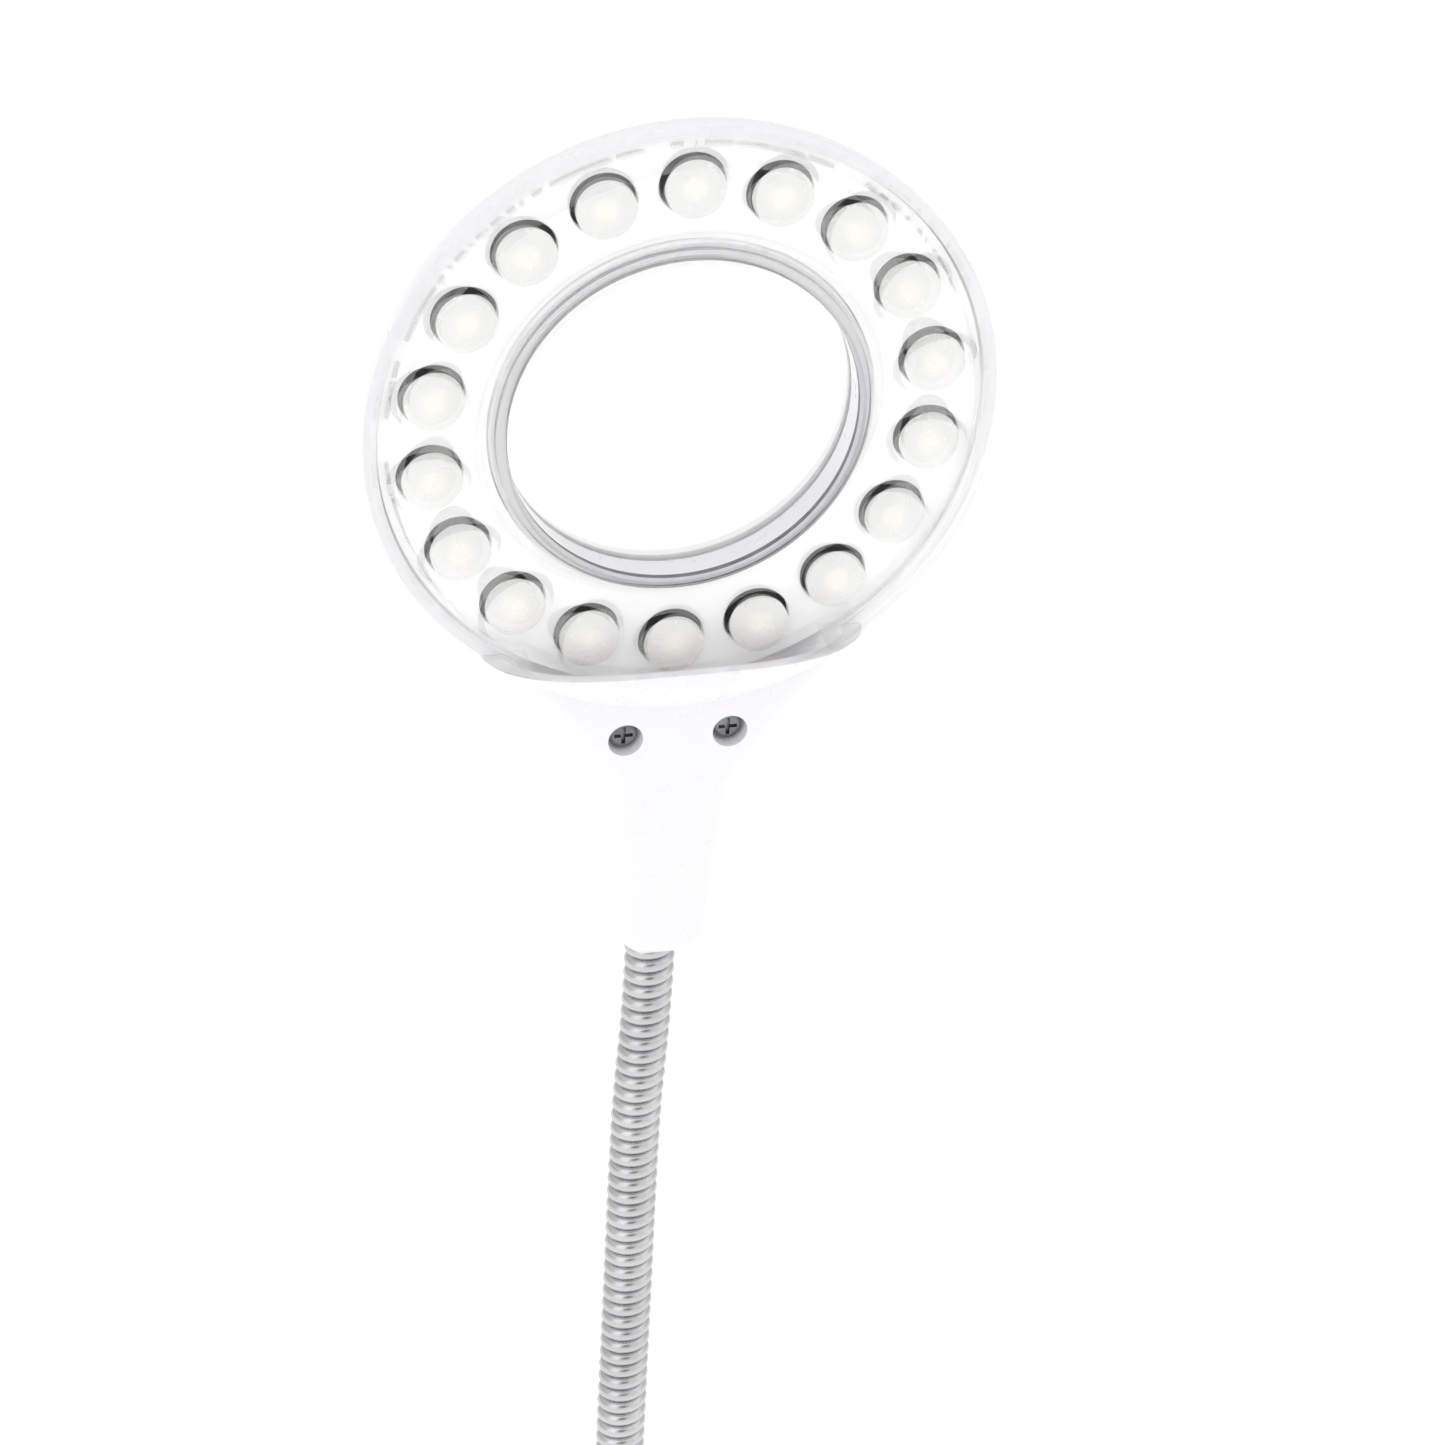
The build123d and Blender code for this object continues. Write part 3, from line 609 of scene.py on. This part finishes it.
def leds(resin, barrel, phosphor_look, frame_metal):
    """Each LED: resin body with a low dome, two-post lead frame with a cup, and the phosphor in the cup."""
    back_y = LEDS_HIGH.y
    cap_y = LEDS_LOW.y + LED_CAP
    flange_y = back_y - LED_FLANGE
    milky_y = LEDS_LOW.y + LED_MILKY
    cap_r, cap_turn = face_arc(LED_CAP, LED_R)
    body = [(TINY, back_y), (LED_FLANGE_R, back_y), (LED_FLANGE_R, flange_y)]
    body += [(LED_R, flange_y), (LED_R, milky_y)]
    body += arc((0, LEDS_LOW.y + cap_r), cap_r, -90 + cap_turn, -90, LED_CAP_STEPS)[:-1]
    body += [(TINY, LEDS_LOW.y)]
    vertices, faces = lathe_parts(body, LED_STEPS, False)
    vertices = [Vector((min(v.x, LED_FLAT), v.y, v.z)) for v in vertices]
    bodies = repeated("led_bodies_clear", (vertices, faces), resin, "led_bodies")
    bodies.data.materials.append(barrel)
    for face in bodies.data.polygons:
        if face.center.y > milky_y:
            face.material_index = 1

    cup_y = cap_y + LED_CUP_BELOW_CAP
    floor_y = cup_y + LED_CUP_DEPTH
    under_y = floor_y + LED_CUP_WALL
    cup = [(TINY, under_y), (LED_CUP_FLOOR_R + LED_CUP_WALL, under_y), (LED_CUP_R + LED_CUP_WALL, cup_y)]
    cup += [(LED_CUP_R, cup_y), (LED_CUP_FLOOR_R, floor_y), (TINY, floor_y)]
    across, along = LED_LEG_HALF
    bar_end_y = under_y + LED_BAR
    posts = joined(
        lathe_parts(cup, CUP_STEPS, False),
        box_shape((-LED_LEG_SPREAD - across, across), (under_y, bar_end_y), (-along, along)),
        box_shape((-LED_LEG_SPREAD - across, -LED_LEG_SPREAD + across), (bar_end_y, back_y), (-along, along)),
        box_shape((LED_LEG_SPREAD - across, LED_LEG_SPREAD + across), (cup_y, back_y), (-along, along)),
    )
    repeated("led_frames", posts, frame_metal)
    glow_y = floor_y * (1 - GLOW_LIFT) + cup_y * GLOW_LIFT
    glow = [(TINY, glow_y), (GLOW_FLOOR_R, glow_y), (GLOW_EDGE_R, cup_y + GLOW_EDGE_DROP)]
    glow += [(GLOW_SHOULDER_R, cup_y - GLOW_SHOULDER_RISE), (TINY, cup_y - GLOW_RISE)]
    repeated("led_phosphor", lathe_parts(glow, CUP_STEPS, False), phosphor_look)


# ---------------------------------------------------------------- gooseneck

WINDING_PITCH = 2.0 * MM
WIRE_R = 0.98 * MM
CORE_R = 0.55 * MM
CORE_CIRCLE_R = 1.95 * MM
LAST_REACH = 1.6  # how far, in links from the last bend but one, the centre line is carried on
LEAD_RINGS = 6  # rings in each bending length of a lead
BEYOND = 1.0  # past either end of the leads


def neck_centre(z):
    """Centre of the gooseneck at this height, on a smooth line through its bends."""
    points = [BENDS[0]] + BENDS + [BENDS[-1]]
    run = (z - BENDS[0].z) / LINK_LENGTH
    index = min(max(int(run), 0), len(BENDS) - 2)
    t = min(max(run - index, 0), LAST_REACH)
    before, here, there, after = (points[index + offset].x for offset in range(4))
    slope_here, slope_there = (there - before) / 2, (after - here) / 2
    if t > 1:
        return Vector((there + slope_there * (t - 1), 0, z))
    x = (
        (2 * t**3 - 3 * t**2 + 1) * here + (t**3 - 2 * t**2 + t) * slope_here
        + (3 * t**2 - 2 * t**3) * there + (t**3 - t**2) * slope_there
    )
    return Vector((x, 0, z))


def helix(low_z, high_z, circle_r, wire_r, phase, steps_per_turn=36, sides=12):
    """One length of a wire wound round the gooseneck, capped at both ends."""
    steps = max(2, round((high_z - low_z) / WINDING_PITCH * steps_per_turn))
    vertices, faces = [], []
    for step in range(steps + 1):
        z = low_z + (high_z - low_z) * step / steps
        turn = tau * (z - NECK_LOW_Z) / WINDING_PITCH + phase
        outward = Vector((cos(turn), sin(turn), 0))
        middle = neck_centre(z) + outward * circle_r
        for side in range(sides):
            angle = tau * side / sides
            vertices.append(middle + outward * wire_r * cos(angle) + Vector((0, 0, wire_r * sin(angle))))
    for step in range(steps):
        for side in range(sides):
            here = step * sides
            following = (side + 1) % sides
            faces.append((here + side, here + following, here + sides + following, here + sides + side))
    faces.append(list(range(sides)))
    faces.append([steps * sides + side for side in reversed(range(sides))])
    return vertices, faces


def neck_spans():
    """Stretches of the gooseneck, each round one bend, as (low z, high z, bend's index or None)."""
    middles = [bend.z - LINK_LENGTH / 2 for bend in BENDS] + [BENDS[-1].z + LINK_LENGTH / 2]
    yield NECK_LOW_Z, middles[0], None
    for index in range(len(BENDS)):
        yield middles[index], middles[index + 1], index
    yield middles[-1], NECK_HIGH_Z, None


def join_neck(piece, low_z, bend):
    """Puts a piece at an end of the gooseneck on the body that carries it; a piece round a bend has its place
    baked into its mesh and is put on no body.
    """
    if bend is None:
        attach(piece, BEND_BODIES[0][0] if low_z < BENDS[0].z else BEND_BODIES[-1][1])
    else:
        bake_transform(piece)


def gooseneck(wire_look, core_look):
    for number, (low_z, high_z, bend) in enumerate(neck_spans()):
        wire = helix(low_z, high_z, NECK_R - WIRE_R, WIRE_R, 0)
        core = helix(low_z, high_z, CORE_CIRCLE_R, CORE_R, pi)
        piece = add_mesh(f"winding_{number:02d}", *joined(wire, core))
        tidy_normals(piece)
        piece.data.materials.append(wire_look)
        piece.data.materials.append(core_look)
        for face in piece.data.polygons[len(wire[1]):]:
            face.material_index = 1
        nodes = {max(number - 1, 0), min(number, len(BENDS))}
        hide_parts(*[f"gooseneck_{node:02d}" for node in nodes])
        join_neck(piece, low_z, bend)


def slice_of(node, name, low_z, high_z, rings):
    """The stretch of a CAD node between two heights, closed at its ends, with rings to bend at."""
    work = bmesh.new()
    work.from_mesh(frame["nodes"][node].data)
    bmesh.ops.remove_doubles(work, verts=work.verts, dist=WELD)
    cut_level(work, low_z, keep_above=True)
    cut_level(work, high_z, keep_above=False)
    for ring in range(1, rings):
        everything = work.verts[:] + work.edges[:] + work.faces[:]
        z = low_z + (high_z - low_z) * ring / rings
        bmesh.ops.bisect_plane(work, geom=everything, plane_co=(0, 0, z), plane_no=(0, 0, 1))
    mesh = bpy.data.meshes.new(name)
    work.to_mesh(mesh)
    work.free()
    mesh.shade_smooth()
    mesh.set_sharp_from_angle(angle=radians(LEAD_SHARP_DEGREES))
    piece = bpy.data.objects.new(name, mesh)
    bpy.context.scene.collection.objects.link(piece)
    return piece


def leads(looks):
    spans = list(neck_spans())
    for node, look, slot_name in looks:
        for number, (low_z, high_z, bend) in enumerate(spans):
            low = -BEYOND if number == 0 else low_z
            high = BEYOND if number == len(spans) - 1 else high_z
            rings = 1 if bend is None else LEAD_RINGS
            piece = slice_of(node, f"{node}_{number:02d}", low, high, rings)
            paint(piece, look)
            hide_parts(node)
            join_neck(piece, low_z, bend)


# ---------------------------------------------------------------- build

def build():
    bpy.context.scene.view_settings.view_transform = "Standard"
    back = add_camera()
    add_world(back)
    for name, (place, size, power) in SOFTBOXES.items():
        add_light(name, place, size, power)
    add_floor()

    white = white_plastic()
    clear = clear_plastic()
    steel = metal("tinned_steel", (0.72, 0.72, 0.73), (0.80, 0.80, 0.81), (0.2, 0.35), 3000)
    dark_steel = metal("dark_screw", (0.16, 0.16, 0.17), (0.28, 0.28, 0.29), (0.3, 0.5), 3000)
    brass = metal("turned_brass", (0.78, 0.60, 0.30), (0.85, 0.68, 0.38), (0.2, 0.35), 2500)
    gold = metal("gold_plate", (0.95, 0.72, 0.33), (0.98, 0.80, 0.42), (0.15, 0.25), 2500)
    shield = metal("nickel_shield", (0.70, 0.70, 0.71), (0.78, 0.78, 0.79), (0.2, 0.4), 1500, (1, 1, 0.05))
    wire = metal("plated_winding", (0.55, 0.55, 0.56), (0.60, 0.60, 0.61), (0.22, 0.3), 1200, height=0.000001)
    core = metal("dull_winding_core", (0.42, 0.42, 0.43), (0.50, 0.50, 0.51), (0.4, 0.6), 1200)
    black_mask = matt("black_board", (0.03, 0.032, 0.035), (0.05, 0.052, 0.055), (0.3, 0.5), 1500)
    green_mask = matt("green_board", (0.02, 0.16, 0.07), (0.03, 0.22, 0.10), (0.3, 0.45), 1500)
    black = matt("black_moulding", (0.025, 0.025, 0.028), (0.05, 0.05, 0.055), (0.4, 0.6), 1200)
    insert = matt("white_insert", (0.80, 0.80, 0.79), (0.86, 0.86, 0.85), (0.4, 0.6), 1200)
    grey = matt("grey_button", (0.62, 0.62, 0.64), (0.68, 0.68, 0.70), (0.3, 0.4), 1500)
    red = matt("red_insulation", (0.55, 0.02, 0.02), (0.65, 0.04, 0.03), (0.35, 0.5), 900)
    black_wire = matt("black_insulation", (0.02, 0.02, 0.02), (0.04, 0.04, 0.04), (0.35, 0.5), 900)

    ring_cover(clear, seam_shadow())
    magnifying_lens(lens_plastic())
    leds(led_resin(), led_barrel(), phosphor(), steel)
    gooseneck(wire, core)
    leads((("positive_lead", red, "red_insulation"), ("negative_lead", black_wire, "black_insulation")))
    painted = {
        "rear_housing": white, "neck_cover": white, "lens_ring": white, "neck_screws": dark_steel,
        "reflector_plate": reflector_white(), "led_board": black_mask, "led_legs": steel,
        "chip_resistors": black, "head_ferrule": brass, "usb_ferrule": brass,
        "usb_housing_front": white, "usb_housing_back": white, "usb_shell": shield,
        "usb_tongue": insert, "usb_contacts": gold, "usb_board": green_mask,
        "switch_body": black, "switch_button": grey,
    }
    for node, look in painted.items():
        paint_node(node, look)


build()
